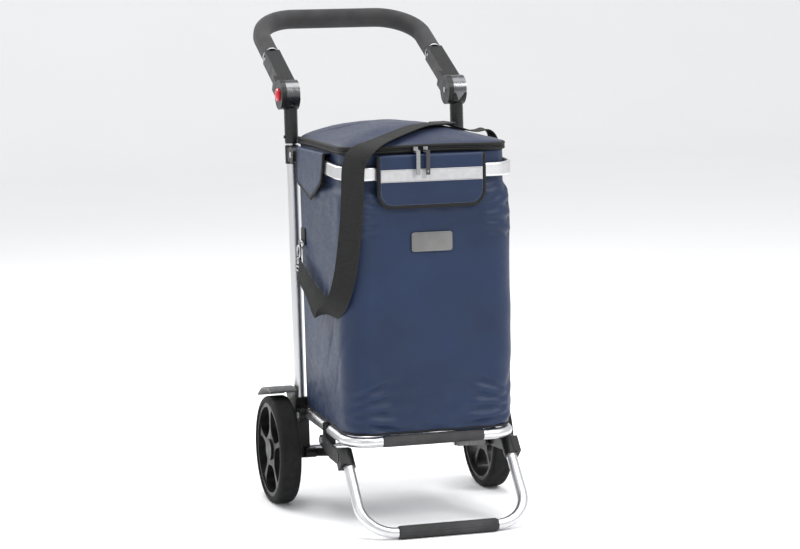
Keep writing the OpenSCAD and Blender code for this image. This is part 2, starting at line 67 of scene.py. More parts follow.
MM = 0.001
JOINTS = {j["name"]: j for j in frame["joints"]}
AXLE_Y = JOINTS["left_wheel_spin"]["pos_m"][1]
AXLE_Z = JOINTS["left_wheel_spin"]["pos_m"][2]
LEAN = math.radians(2.5)
ARM_TILT = math.radians(64)
ARM_HINGE_Z = 657.0
UP_Z = Vector((0, 0, 1))

# Bag sizes in mm, measured from the axle
BAG_HALF, BAG_FRONT, BAG_BEND = 157.0, 305.0, 45.0
BAG_BASE_Z = 80.0
NECK_HALF, NECK_FRONT, NECK_Z = 150.5, 297.0, 508.0
ZIP_Z = 566.0
TRAY_Y, TRAY_Z, TRAY_SLOPE = -33.0, 67.0, math.radians(1.8)
BAG_LIFT = 11.3
CLOTH, FLAP_CLOTH, TAPE = 3.0 * MM, 2.2 * MM, 0.6 * MM

# The camera, fitted to points on the photographed frame: metres from the point under the axle,
# degrees, and the lens in mm
CAMERA_AT = (-1.3683, -4.5254, 1.0043)
CAMERA_AZIMUTH, CAMERA_ELEVATION, CAMERA_ROLL = -17.248, 7.092, -0.901
CAMERA_LENS, CAMERA_SENSOR = 114.56, 36.0
LIGHTS_AIM = Vector((0, 0, 0.45))


SIDES = ((-1, "left"), (1, "right"))


def place(p):
    """A point in mm from the axle, as metres in the row frame."""
    return Vector((p[0] * MM, p[1] * MM + AXLE_Y, p[2] * MM + AXLE_Z))


def smooth(a, b, t):
    """0 at a and 1 at b, with a soft start and end."""
    t = min(1.0, max(0.0, (t - a) / (b - a)))
    return t * t * (3 - 2 * t)


def wobble(p, size, seed=0.0):
    """Smooth noise from -1 to 1 at a point in mm."""
    return noise.noise(Vector((p[0] / size + seed, p[1] / size - seed, p[2] / size + 2 * seed)))


def forwards(_):
    return Vector((0, -1, 0))


def sideways(side):
    return lambda _: Vector((side, 0, 0))


# Materials


class Shader:
    """A small helper that builds one procedural material."""

    def __init__(self, name, color, rough, metal=0.0, **constants):
        self.mat = bpy.data.materials.new(name)
        self.mat.use_nodes = True
        self.nodes = self.mat.node_tree.nodes
        self.links = self.mat.node_tree.links
        self.bsdf = self.nodes["Principled BSDF"]
        self.set("Base Color", (*color, 1.0))
        self.set("Roughness", rough)
        self.set("Metallic", metal)
        for key, value in constants.items():
            self.set(key.replace("_", " "), value)
        self.mat.diffuse_color = (*color, 1.0)
        self.coords = self.nodes.new("ShaderNodeTexCoord")
        self.normal = None

    def set(self, socket, value):
        if socket in self.bsdf.inputs:
            self.bsdf.inputs[socket].default_value = value

    def texture(self, kind, scale, **mapped):
        """A texture on the object's coordinates, which are stretched or turned first."""
        mapping = self.nodes.new("ShaderNodeMapping")
        for key, value in mapped.items():
            mapping.inputs[key].default_value = value
        self.links.new(self.coords.outputs["Object"], mapping.inputs["Vector"])
        tex = self.nodes.new(kind)
        tex.inputs["Scale"].default_value = scale
        self.links.new(mapping.outputs["Vector"], tex.inputs["Vector"])
        return tex

    def noise(self, scale, detail=3.0, stretch=(1, 1, 1)):
        tex = self.texture("ShaderNodeTexNoise", scale, Scale=stretch)
        tex.inputs["Detail"].default_value = detail
        return tex.outputs["Fac"]

    def wave(self, scale, turn):
        return self.texture("ShaderNodeTexWave", scale, Rotation=turn).outputs["Fac"]

    def voronoi(self, scale):
        tex = self.nodes.new("ShaderNodeTexVoronoi")
        tex.inputs["Scale"].default_value = scale
        self.links.new(self.coords.outputs["Object"], tex.inputs["Vector"])
        return tex.outputs["Distance"]

    def math(self, op, a, b):
        node = self.nodes.new("ShaderNodeMath")
        node.operation = op
        for k, v in enumerate((a, b)):
            if isinstance(v, (int, float)):
                node.inputs[k].default_value = v
            else:
                self.links.new(v, node.inputs[k])
        return node.outputs[0]

    def ramp(self, fac, low, high, a=0.3, b=0.7):
        node = self.nodes.new("ShaderNodeMapRange")
        node.inputs["From Min"].default_value = a
        node.inputs["From Max"].default_value = b
        node.inputs["To Min"].default_value = low
        node.inputs["To Max"].default_value = high
        self.links.new(fac, node.inputs["Value"])
        return node.outputs["Result"]

    def colors(self, fac, dark, light, a=0.3, b=0.7):
        node = self.nodes.new("ShaderNodeValToRGB")
        node.color_ramp.elements[0].position = a
        node.color_ramp.elements[0].color = (*dark, 1.0)
        node.color_ramp.elements[1].position = b
        node.color_ramp.elements[1].color = (*light, 1.0)
        self.links.new(fac, node.inputs["Fac"])
        self.links.new(node.outputs["Color"], self.bsdf.inputs["Base Color"])
        return self

    def rough(self, fac, low, high, a=0.3, b=0.7):
        self.links.new(self.ramp(fac, low, high, a, b), self.bsdf.inputs["Roughness"])
        return self

    def bump(self, height, strength, depth_mm):
        node = self.nodes.new("ShaderNodeBump")
        node.inputs["Strength"].default_value = strength
        node.inputs["Distance"].default_value = depth_mm * MM
        self.links.new(height, node.inputs["Height"])
        if self.normal is not None:
            self.links.new(self.normal, node.inputs["Normal"])
        self.normal = node.outputs["Normal"]
        self.links.new(self.normal, self.bsdf.inputs["Normal"])
        return self


def scaled(color, k):
    return tuple(min(1.0, c * k) for c in color)


def nylon(name, color, sheen=0.03):
    s = Shader(name, color, 0.5, Sheen_Weight=sheen, Sheen_Roughness=0.45, Specular_IOR_Level=0.28)
    s.colors(s.noise(9, 4), scaled(color, 0.86), scaled(color, 1.14))
    weave = s.math("MULTIPLY", s.wave(420, (0, 0.785, 0.3)), s.wave(420, (0.4, -0.785, 0.3)))
    s.rough(s.noise(160, 2), 0.38, 0.5)
    s.bump(weave, 0.35, 0.25).bump(s.noise(55, 3), 0.35, 0.7)
    return s.mat


def plastic(name, color, rough=0.42, grain=900, depth=0.12, coat=0.0):
    s = Shader(name, color, rough, Coat_Weight=coat, Coat_Roughness=0.15, Specular_IOR_Level=0.3)
    s.colors(s.noise(14, 4), scaled(color, 0.8), scaled(color, 1.3))
    s.rough(s.noise(60, 4), rough - 0.07, rough + 0.1)
    s.bump(s.noise(grain, 2), 0.35, depth)
    return s.mat


def metal(name, color, rough=0.25, streak=(1, 1, 1), aniso=0.0, depth=0.04):
    s = Shader(name, color, rough, 1.0, Anisotropic=aniso)
    s.colors(s.noise(25, 5, streak), scaled(color, 0.9), scaled(color, 1.06))
    s.rough(s.noise(180, 4, streak), rough - 0.06, rough + 0.09)
    s.bump(s.noise(700, 2, streak), 0.2, depth)
    return s.mat


def foam():
    s = Shader(
        "foam_mat", (0.03, 0.03, 0.031), 0.85, Sheen_Weight=0.06, Sheen_Roughness=0.6, Specular_IOR_Level=0.3
    )
    s.colors(s.noise(30, 5), (0.022, 0.022, 0.023), (0.038, 0.038, 0.039))
    s.bump(s.noise(1100, 3), 0.6, 0.35).bump(s.voronoi(600), 0.25, 0.2)
    return s.mat


def rubber(name, color, depth=0.2):
    s = Shader(name, color, 0.78, Specular_IOR_Level=0.25)
    s.colors(s.noise(22, 6), scaled(color, 0.75), scaled(color, 1.45))
    s.rough(s.noise(90, 4), 0.68, 0.86)
    s.bump(s.noise(500, 3), 0.45, depth)
    return s.mat


def webbing(name, color):
    s = Shader(name, color, 0.7, Sheen_Weight=0.05, Sheen_Roughness=0.5, Specular_IOR_Level=0.25)
    s.colors(s.noise(500, 3), scaled(color, 0.65), scaled(color, 1.7))
    s.bump(s.noise(1500, 2), 0.5, 0.2)
    return s.mat


def reflective():
    s = Shader("reflective_mat", (0.4, 0.4, 0.41), 0.5)
    s.colors(s.noise(120, 4), (0.37, 0.37, 0.38), (0.43, 0.43, 0.44))
    s.bump(s.voronoi(700), 0.4, 0.12)
    return s.mat


NAVY = (0.0085, 0.0205, 0.056)
MAT = {
    "nylon": nylon("nylon_navy", NAVY),
    # The lid's nylon is a lighter, greyer copy of the navy: painted top light and sheen in its colour
    "nylon_lid_painted_light": nylon("nylon_lid_painted_light", (0.014, 0.022, 0.052), 0.05),
    "binding": webbing("binding_tape", (0.0055, 0.0055, 0.0056)),
    "webbing": webbing("webbing_black", (0.0085, 0.0085, 0.0084)),
    "thread": webbing("thread_grey", (0.09, 0.1, 0.13)),
    "alu": metal("anodised_tube", (0.66, 0.66, 0.67), 0.33, (1, 1, 0.06), 0.3),
    "dark_metal": metal("hinge_gunmetal", (0.13, 0.132, 0.138), 0.24),
    "steel": metal("zinc_steel", (0.58, 0.585, 0.6), 0.3),
    "zip_metal": metal("zip_nickel", (0.36, 0.365, 0.37), 0.27),
    "pull_dark": metal("pull_gunmetal", (0.09, 0.09, 0.094), 0.3),
    "black": plastic("black_plastic", (0.006, 0.006, 0.0063), 0.36),
    "arm": plastic("arm_plastic", (0.009, 0.009, 0.0094), 0.32, 700, 0.15),
    "paint": plastic("riser_paint", (0.010, 0.010, 0.0105), 0.26, 300, 0.03, 0.25),
    "guard": plastic("guard_plastic", (0.055, 0.055, 0.056), 0.34),
    "rim": plastic("rim_plastic", (0.005, 0.005, 0.0052), 0.4),
    "red": plastic("red_plastic", (0.5, 0.008, 0.02), 0.22, 200, 0.02, 0.5),
    "label": plastic("label_print", (0.13, 0.132, 0.128), 0.34, 400, 0.05, 0.2),
    "foam": foam(),
    "sleeve": rubber("sleeve_skin", (0.036, 0.036, 0.037), 0.35),
    "tyre": rubber("tyre_rubber", (0.0065, 0.0065, 0.0067)),
    "reflective": reflective(),
    "lining": nylon("lining_grey", (0.03, 0.03, 0.033), 0.05),
}

NODE_LOOKS = {
    "alu": ["uprights", "hoop_tube", "tray_tube", "stand_tube", "grip_tube"],
    "paint": ["riser_tubes"],
    "dark_metal": ["hinge_bases", "hinge_pins"],
    "black": [
        "hoop_brackets", "axle_brackets", "riser_caps", "left_snap_button", "right_snap_button",
        "hoop_lugs", "stand_mounts", "stand_brackets", "fold_struts", "axle_spacers", "bag_base_board",
    ],
    "arm": ["left_arm", "right_arm"],
    "guard": ["mudguards"],
    "rim": ["left_rim", "right_rim", "left_hub_cap", "right_hub_cap"],
    "tyre": ["left_tyre", "right_tyre"],
    "foam": ["foam_grip"],
    "sleeve": ["tray_sleeve", "stand_foot"],
    "red": ["release_button"],
    "steel": [
        "hoop_pivot_bolts", "axle", "axle_retainers", "tray_pivot_bolts", "strut_pivot_bolts",
        "right_hinge_screw", "arm_rivets", "button_spring", "stand_pivot_bolts",
        "left_bearings", "right_bearings",
    ],
    "zip_metal": ["zip_sliders", "left_zip_pull", "snap_hooks"],
    "pull_dark": ["right_zip_pull"],
    "webbing": ["strap_rings"],
}


def paint_nodes():
    for look, names in NODE_LOOKS.items():
        for name in names:
            node = frame["nodes"][name]
            node.data.materials.clear()
            node.data.materials.append(MAT[look])


# Mesh helpers


def piece(name, points, faces, look, body, nodes=(), shade=True):
    """A new mesh object from points in mm, riding on a body."""
    mesh = bpy.data.meshes.new(name)
    mesh.from_pydata([place(p) for p in points], [], faces)
    mesh.validate()
    mesh.update()
    for f in mesh.polygons:
        f.use_smooth = shade
    mesh.materials.append(MAT[look])
    o = bpy.data.objects.new(name, mesh)
    bpy.context.scene.collection.objects.link(o)
    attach(o, body)
    if nodes:
        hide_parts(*nodes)
    return o


def grid_faces(rows, cols, closed=False):
    faces = []
    for r in range(rows - 1):
        for c in range(cols if closed else cols - 1):
            d = (c + 1) % cols
            faces.append((r * cols + c, r * cols + d, (r + 1) * cols + d, (r + 1) * cols + c))
    return faces


def tube_faces(rows, cols):
    """Faces of a tube with a flat face at each end."""
    last = (rows - 1) * cols
    return grid_faces(rows, cols, True) + [tuple(range(cols))[::-1], tuple(range(last, last + cols))]


def modifier(o, kind, **values):
    m = o.modifiers.new(kind.lower(), kind)
    for k, v in values.items():
        setattr(m, k, v)
    return m


def line_cloth(o):
    """Gives a cloth shell its thickness, with the lining's material inside."""
    o.data.materials.append(MAT["lining"])
    modifier(o, "SOLIDIFY", thickness=CLOTH, offset=-1.0, material_offset=1, material_offset_rim=0)


def thicken(o, thickness):
    """Gives a cloth sheet its thickness, evenly on both sides."""
    modifier(o, "SOLIDIFY", thickness=thickness, offset=0.0)


def mesh_tree(o):
    return BVHTree.FromPolygons([v.co for v in o.data.vertices], [tuple(f.vertices) for f in o.data.polygons])


def apply_modifiers(o):
    dg = bpy.context.evaluated_depsgraph_get()
    mesh = bpy.data.meshes.new_from_object(o.evaluated_get(dg))
    mats = list(o.data.materials)
    o.modifiers.clear()
    o.data = mesh
    if not mesh.materials:
        for m in mats:
            mesh.materials.append(m)
    return o


def rear_y(z):
    """The bag's back, just in front of the leaning uprights."""
    return (-13 + z * math.sin(LEAN)) / math.cos(LEAN)


def plan(half, front, rear, bend, count, back_bend=9.0):
    """A closed outline with round front corners, evenly spaced, from the middle of the back."""
    corners = [
        ((-half + back_bend, rear - back_bend), back_bend, 90, 180),
        ((-half + bend, -front + bend), bend, 180, 270),
        ((half - bend, -front + bend), bend, 270, 360),
        ((half - back_bend, rear - back_bend), back_bend, 0, 90),
    ]
    pts = [(0.0, rear)]
    for (cx, cy), r, a0, a1 in corners:
        for k in range(13):
            a = math.radians(a0 + (a1 - a0) * k / 12)
            pts.append((cx + r * math.cos(a), cy + r * math.sin(a)))
    pts.append((0.0, rear))
    total = [0.0]
    for p, q in zip(pts, pts[1:]):
        total.append(total[-1] + math.dist(p, q))
    out, k = [], 0
    for i in range(count):
        t = total[-1] * i / count
        while total[k + 1] < t:
            k += 1
        w = (t - total[k]) / max(1e-9, total[k + 1] - total[k])
        out.append((pts[k][0] * (1 - w) + pts[k + 1][0] * w, pts[k][1] * (1 - w) + pts[k + 1][1] * w))
    return out


def bead(name, path, width, height, look, body, out_of, closed=False, sides=10, ribs=0.0):
    """A flattened bead along a path of points in mm; out_of gives the outward direction at a point."""
    count = len(path)
    points = []
    for i, p in enumerate(path):
        a = Vector(path[(i - 1) % count if closed else max(0, i - 1)])
        b = Vector(path[(i + 1) % count if closed else min(count - 1, i + 1)])
        along = (b - a).normalized()
        up = Vector(out_of(p))
        side = along.cross(up).normalized()
        up = side.cross(along).normalized()
        k = 1 + (ribs if i % 2 else 0)
        for s in range(sides):
            t = 2 * math.pi * s / sides
            points.append(Vector(p) + side * (width / 2 * math.cos(t)) + up * (height / 2 * k * math.sin(t)))
    if closed:
        last = (count - 1) * sides
        faces = grid_faces(count, sides, True)
        faces += [(last + s, last + (s + 1) % sides, (s + 1) % sides, s) for s in range(sides)]
    else:
        faces = tube_faces(count, sides)
    return piece(name, points, faces, look, body)


def resample(path, step):
    """Points every step mm along a polyline."""
    out = [Vector(path[0])]
    left = step
    for a, b in zip(path, path[1:]):
        a, b = Vector(a), Vector(b)
        d = (b - a).length
        at = 0.0
        while d - at >= left:
            at += left
            out.append(a.lerp(b, at / d))
            left = step
        left -= d - at
    return out


def stitches(name, path, out_of, body, pitch=4.6, length=3.0, r=0.35):
    """Short raised threads along a path, pointed at both ends."""
    sides = 6
    rings = ((0.0, 0.35), (0.18, 1.0), (0.82, 1.0), (1.0, 0.35))
    pts = resample(path, pitch)
    verts, faces = [], []
    for i in range(len(pts) - 1):
        along = (pts[i + 1] - pts[i]).normalized()
        up = Vector(out_of(pts[i])).normalized()
        side = along.cross(up).normalized()
        base = len(verts)
        for t, k in rings:
            c = pts[i] + along * (length * t)
            for s in range(sides):
                q = 2 * math.pi * s / sides
                verts.append(c + (side * math.cos(q) + up * math.sin(q)) * r * k)
        faces += [tuple(base + v for v in f) for f in tube_faces(len(rings), sides)]
    return piece(name, verts, faces, "thread", body)


# Bag body


def tray_top(y):
    """Height of the bag's underside, on the sloping tray, at y."""
    return TRAY_Z + BAG_LIFT + (y - TRAY_Y) * math.tan(TRAY_SLOPE)


def fold(p, at, direction, width, length, depth):
    """A soft crease through a point: how far the cloth moves out at p."""
    d = Vector(p) - Vector(at)
    u = Vector(direction).normalized()
    s = d.dot(u)
    off = (d - u * s).length
    return depth * math.exp(-((off / width) ** 2)) * math.exp(-((s / length) ** 2))


def bag_swell(p, level):
    """Outward offset of the bag's cloth at p, in mm; level is 0 at the base and 1 at the neck."""
    x, y, z = p
    mid = math.sin(math.pi * min(1.0, max(0.0, level))) ** 0.7
    lift = 2.6 * mid
    lift += 1.8 * wobble(p, 75, 1.3) + 0.7 * wobble((x, y, z * 0.6), 30, 4.1)
    crumple = smooth(0.3, 0.0, level) + 0.8 * smooth(0.78, 1.0, level)
    lift += 2.4 * crumple * wobble((x, y, z * 1.8), 24, 7.7)
    s = -1 if x < 0 else 1
    for k in range(5):
        lift -= fold(p, (s * 108, -302, 74 + 21 * k), (s * 1.0, 0.1, 0.42 - 0.19 * k), 5.0, 54 - 5 * k, 5.2)
        lift += fold(p, (s * 112, -302, 84 + 21 * k), (s * 1.0, 0.1, 0.32 - 0.19 * k), 6.0, 46 - 4 * k, 3.0)
    for k in range(4):
        lift -= fold(p, (s * 140, -290, 420 + 25 * k), (s * 1.0, 0.5, 0.25 * (k - 1)), 5.0, 46, 4.4)
        lift += fold(p, (s * 134, -292, 431 + 25 * k), (s * 1.0, 0.4, 0.25 * (k - 1)), 6.0, 40, 2.6)
    for k in range(3):
        lift -= fold(p, (s * 150, -262 + 30 * k, 210 + 62 * k), (0.1, s * 0.5, 1.0), 6.5, 70, 3.0)
    return lift


def bag_ring(z, level, count, inset):
    """One ring of the bag's wall, drawn in to the neck at the top."""
    t = smooth(NECK_Z - 14, NECK_Z + 3, z)
    half = BAG_HALF - inset + (NECK_HALF - BAG_HALF) * t
    front = BAG_FRONT - inset + (NECK_FRONT - BAG_FRONT) * t
    ring = plan(half, front, rear_y(z) - 1.5, BAG_BEND - inset, count)
    rear = rear_y(z)
    points = []
    for i, (x, y) in enumerate(ring):
        a, b = ring[i - 1], ring[(i + 1) % count]
        out = Vector((b[1] - a[1], a[0] - b[0])).normalized()
        if out.dot(Vector((x, y + 150))) < 0:
            out = -out
        near_back = smooth(40, 10, rear - y)
        lift = bag_swell((x, y, z), level) * (1 - 0.85 * near_back) * (1 - 0.9 * t)
        q = Vector((x, y)) + out * lift
        limit = 151.0 + 9.0 * smooth(12, 34, rear - q.y)
        q.x = max(-limit, min(limit, q.x))
        points.append((q.x, min(q.y, rear - 0.8), z))
    return points


def make_bag():
    """The bag's walls, and its base in rings that close on one point."""
    count, rows = 320, 130
    points = []
    for r in range(rows):
        t = r / (rows - 1)
        level = max(0.0, (t - 0.01) / 0.88)
        inset = 3.5 * smooth(0.05, 0.0, t)
        for x, y, _ in bag_ring(BAG_BASE_Z + (ZIP_Z - BAG_BASE_Z) * t, level, count, inset):
            low = tray_top(y)
            points.append((x, y, low + (ZIP_Z - low) * t))
    faces = grid_faces(rows, count, True)
    cx, cy = 0.0, -155.0
    base = points[:count]
    start = 0
    for k in range(1, 14):
        s = 1 - k / 14
        new = len(points)
        for x, y, _ in base:
            yy = cy + (y - cy) * s
            points.append((cx + (x - cx) * s, yy, tray_top(yy) + 0.2))
        for c in range(count):
            d = (c + 1) % count
            faces.append((start + d, start + c, new + c, new + d))
        start = new
    points.append((cx, cy, tray_top(cy) + 0.2))
    tip = len(points) - 1
    for c in range(count):
        faces.append((start + (c + 1) % count, start + c, tip))
    bag = piece("bag_shell", points, faces, "nylon", "frame", ["bag_body"])
    line_cloth(bag)
    return bag


def surface(o):
    """Nearest point and outward direction on a finished mesh, in mm."""
    tree = mesh_tree(o)

    def find(p):
        hit, direction, _, _ = tree.find_nearest(place(p))
        q = Vector((hit.x / MM, (hit.y - AXLE_Y) / MM, (hit.z - AXLE_Z) / MM))
        away = Vector(p) - q
        if away.length > 1e-6 and direction.dot(away) < 0:
            direction = -direction
        return q, direction

    return find


def plan_out(p):
    """Outward direction round the bag's plan."""
    x, y = p[0], p[1]
    cx = max(-(BAG_HALF - BAG_BEND), min(BAG_HALF - BAG_BEND, x))
    cy = max(-(BAG_FRONT - BAG_BEND), y)
    d = Vector((x - cx, y - cy, 0.0))
    return d.normalized() if d.length > 1e-3 else Vector((0, 1, 0))


def make_piping(bag):
    """Piping round the base, and a seam up each side."""
    find = surface(bag)
    path = []
    for x, y in plan(BAG_HALF - 2, BAG_FRONT - 2, rear_y(BAG_BASE_Z) - 3, BAG_BEND - 2, 260):
        q, _ = find((x * 1.01, y, tray_top(y) + 4))
        path.append((q.x, q.y, tray_top(q.y) + 3.2))
    bead("base_piping", path, 3.6, 3.6, "binding", "frame", plan_out, closed=True)
    for side, tag in SIDES:
        path = []
        for k in range(90):
            z = 86 + (NECK_Z - 96) * k / 89
            q, _ = find((side * 168, rear_y(z) - 17, z))
            path.append(q + Vector((side * 0.5, 0, 0)))
        bead(f"side_seam_{tag}", path, 1.8, 1.8, "binding", "frame", sideways(side))


# Flaps: below the hoop the front flap's height is FLAP_ZERO less the way along it

FLAP_ZERO = 578.4


def flap_front(x, s):
    """Centre line of the front flap: from the zip, over the hoop and down, s in mm along it."""
    if s < 13:
        return Vector((x, -299.5 - s * 0.98, 562.8))
    if s < 20:
        a = (s - 13) / 7 * math.pi / 2
        return Vector((x, -312.2 - 1.6 * math.sin(a), 562.8 - 4.4 * (1 - math.cos(a))))
    z = FLAP_ZERO - s
    wave = 0.8 * wobble((x, 0, z), 34, 2.2) * smooth(540, 480, z)
    tuck = 1.5 * smooth(505, 474, z)
    return Vector((x, -313.8 - wave + tuck, z))


def make_front_flap():
    """The front flap with its bound edge, and the reflective tape sewn across it."""
    half, long, corner, bound_from = 97.0, 105.0, 24.0, 14
    cols, rows = 90, 60
    points, edge = [], []
    for r in range(rows):
        for c in range(cols):
            x = -half + 2 * half * c / (cols - 1)
            over = max(0.0, abs(x) - (half - corner))
            end = long - (corner - math.sqrt(max(0.0, corner**2 - over**2)))
            points.append(flap_front(x, end * r / (rows - 1)))
    faces = grid_faces(rows, cols)
    flap = piece("front_flap_cloth", points, faces, "nylon", "frame", ["front_flap"])
    thicken(flap, FLAP_CLOTH)
    for k in range(24):
        edge.append(flap_front(-half, bound_from + (long - corner - bound_from) * k / 23))
    for k in range(1, 17):
        a = math.pi / 2 * k / 16
        edge.append(flap_front(-half + corner * (1 - math.cos(a)), long - corner + corner * math.sin(a)))
    for k in range(1, 50):
        edge.append(flap_front(-(half - corner) + 2 * (half - corner) * k / 50, long))
    for k in range(17):
        a = math.pi / 2 * (1 - k / 16)
        edge.append(flap_front(half - corner * (1 - math.cos(a)), long - corner + corner * math.sin(a)))
    for k in range(1, 24):
        edge.append(flap_front(half, long - corner - (long - corner - bound_from) * k / 23))
    edge = resample(edge, 1.3)
    bead("front_flap_binding", edge, 6.4, 4.2, "binding", "frame", forwards, ribs=0.14)
    inner = [Vector((p.x * 0.955, p.y - 1.6, p.z + (3.6 if p.z < 500 else 0))) for p in edge]
    stitches("front_flap_stitches", inner, forwards, "frame")
    tape_half, tape_top, tape_long, cols, rows = 93.4, 539, 22, 80, 12
    band = []
    for r in range(rows):
        for c in range(cols):
            x = -tape_half + 2 * tape_half * c / (cols - 1)
            down = FLAP_ZERO - (tape_top - tape_long * r / (rows - 1))
            band.append(flap_front(x, down) + Vector((0, -1.75, 0)))
    faces = grid_faces(rows, cols)
    strip = piece("reflective_tape", band, faces, "reflective", "frame", ["reflective_strip"])
    thicken(strip, TAPE)
    for z, tag in ((537.6, "top"), (518.4, "low")):
        line = [flap_front(-92 + 184 * k / 60, FLAP_ZERO - z) + Vector((0, -2.3, 0)) for k in range(61)]
        stitches(f"tape_stitches_{tag}", line, forwards, "frame", 3.6, 2.4, 0.3)


# The side flap's lower edge: y and z in mm, and the flap's two ends
SIDE_EDGE = [(-26, 500), (-64, 488), (-110, 476), (-150, 494), (-188, 513), (-197, 532), (-204, 556)]
SIDE_REAR, SIDE_LONG = -26, 178


def side_low(y):
    """Height of the side flap's lower edge at y."""
    for (a, za), (b, zb) in zip(SIDE_EDGE, SIDE_EDGE[1:]):
        if b <= y <= a:
            return za + (zb - za) * (a - y) / (a - b)
    return SIDE_EDGE[0][1] if y > SIDE_EDGE[0][0] else SIDE_EDGE[-1][1]


def side_point(side, y, t):
    """A point of a side flap: over the hoop at t = 0 and on its lower edge at t = 1."""
    low = side_low(y)
    total = 16 + (562 - low)
    s = total * t
    if s < 11:
        return Vector((side * (152.5 + s), y, 563.0))
    if s < 16:
        a = (s - 11) / 5 * math.pi / 2
        return Vector((side * (163.5 + 1.7 * math.sin(a)), y, 563.0 - 3.2 * (1 - math.cos(a))))
    z = 559.8 - (s - 16) * (559.8 - low) / (total - 16)
    hang = 1.6 * smooth(518, 480, z)
    wave = 1.0 * wobble((0, y, z), 26, 5.5) * smooth(552, 500, z)
    return Vector((side * (165.2 - hang + wave), y, z))


def make_side_flaps():
    cols, rows = 90, 46
    for side, tag in SIDES:
        points = [
            side_point(side, SIDE_REAR - SIDE_LONG * c / (cols - 1), r / (rows - 1))
            for r in range(rows)
            for c in range(cols)
        ]
        faces = grid_faces(rows, cols)
        flap = piece(f"side_flap_{tag}", points, faces, "nylon", "frame", ["side_flaps"])
        thicken(flap, FLAP_CLOTH)
        edge = [side_point(side, SIDE_REAR, 0.16 + 0.84 * k / 20) for k in range(21)]
        edge += [side_point(side, SIDE_REAR - SIDE_LONG * k / 90, 1.0) for k in range(1, 91)]
        edge += [side_point(side, SIDE_REAR - SIDE_LONG, 1 - 0.6 * k / 6) for k in range(1, 7)]
        edge = resample(edge, 1.3)
        out = sideways(side)
        bead(f"side_flap_binding_{tag}", edge, 6.2, 4.2, "binding", "frame", out, ribs=0.14)
        inner = [p + Vector((side * 1.5, (-p.y - 110) * 0.045, 4.0)) for p in edge]
        stitches(f"side_flap_stitches_{tag}", inner, out, "frame")


# Lid


# The lid's rise: mm in from its rim, then the height
LID_PROFILE = [(0, 566), (0, 573), (0.6, 578), (3, 581.5), (8, 585), (15, 588.6), (24, 592.4), (36, 596.6),
               (50, 600.8), (66, 604.6), (84, 607.8), (104, 610.2)]


def lid_point(x, y, z):
    """Drapes a point of the plain dome: a lower front right, and soft dents."""
    k = smooth(577, 604, z)
    slope = -0.045 * max(0.0, x + 40) - 0.03 * max(0.0, -(y + 150))
    lift = k * (slope + 2.2 * wobble((x, y, z), 66, 3.3) + 0.8 * wobble((x, y, z), 27, 9.1))
    for (at_x, at_y), turn, deep in (
        ((-95, -95), (1, -0.6, 0), 1.5), ((-60, -240), (1, 0.3, 0), 1.4),
        ((85, -215), (0.5, 1, 0), 1.6), ((20, -80), (1, 0.2, 0), 1.0),
    ):
        lift -= k * fold((x, y, 0), (at_x, at_y, 0), turn, 7, 42, 1.4 * deep)
    return (x, y, z + lift)


def make_lid():
    """The lid's dome: its rim and shoulder by the profile, then rings that close on its middle."""
    count, points = 280, []
    for inset, z in LID_PROFILE:
        bend = max(16, BAG_BEND - inset * 0.35)
        rear = rear_y(z) - 0.5 - inset * 0.55
        ring = plan(NECK_HALF + 0.5 - inset, NECK_FRONT + 1.5 - inset, rear, bend, count, 9 + inset * 0.3)
        points += [lid_point(x, y, z) for x, y in ring]
    last = points[-count:]
    z_last = LID_PROFILE[-1][1]
    for k in range(1, 22):
        s = 1 - k / 22
        z = z_last + 1.4 * (1 - s * s)
        points += [lid_point(x * s, -150 + (y + 150) * s, z) for x, y, _ in last]
    rings = len(points) // count
    faces = grid_faces(rings, count, True)
    points.append(lid_point(0, -150, z_last + 1.4))
    tip, start = len(points) - 1, (rings - 1) * count
    faces += [(start + c, start + (c + 1) % count, tip) for c in range(count)]
    # The lid wears the lighter copy of the navy nylon, with the top light painted into its colour
    lid = piece("lid_dome", points, faces, "nylon_lid_painted_light", "lid", ["bag_lid"])
    line_cloth(lid)
    return lid


def band_path(z, grow):
    """The zip's way round the lid at a height, open at the back."""
    ring = plan(NECK_HALF + grow, NECK_FRONT + 1 + grow, rear_y(z) + 6, BAG_BEND + grow, 620, 4)
    keep = [(x, y, z + 0.9 * math.sin(x / 41 + y / 57)) for x, y in ring if y < rear_y(z) - 4]
    left = [p for p in keep if p[0] < 0]
    right = [p for p in keep if p[0] >= 0]
    return [Vector(p) for p in left + right]


def make_zip():
    """The zip: two welted tapes with the coil between them, on the lid's rim."""
    for z, tag, width, height in ((577.0, "upper", 6.6, 5.6), (569.4, "lower", 6.0, 5.0)):
        path = band_path(z, 1.6)
        welt = bead(f"zip_welt_{tag}", path, width, height, "binding", "lid", plan_out, ribs=0.1)
        if tag == "upper":
            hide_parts("lid_zip_band")
    path = resample(band_path(573.2, 1.9), 1.1)
    bead("zip_coil", path, 2.2, 3.4, "black", "lid", plan_out, ribs=0.4)


# Strap

STRAP_HALF = 20
RING_X, RING_Y = 166, -42

# The webbing's centre in mm from the axle, then the turn of its width about +Z in degrees.
# lie_on sets the height of the rows over the lid.
STRAP = [
    (167, -44, 346, 90), (171, -58, 388, 90), (171.5, -72, 440, 90), (172, -96, 500, 90),
    (172, -128, 548, 90),
    (170.5, -150, 566, 90), (162, -168, 583, 90), (146, -178, 594, 90), (118, -182, 603, 92),
    (71, -182, 609.5, 96), (36, -200, 610, 108), (3, -222, 607, 120), (-38, -258, 600, 126),
    (-76, -288, 592, 132), (-106, -309, 584, 142), (-130, -317, 570, 156), (-143, -319, 548, 164),
    (-146, -319, 500, 164), (-149, -318, 450, 162), (-154, -314, 400, 158), (-160, -306, 350, 150),
    (-168, -286, 308, 134), (-174, -240, 283, 115), (-175, -180, 296, 98), (-174, -112, 318, 90),
    (-172, -48, 341, 90),
]


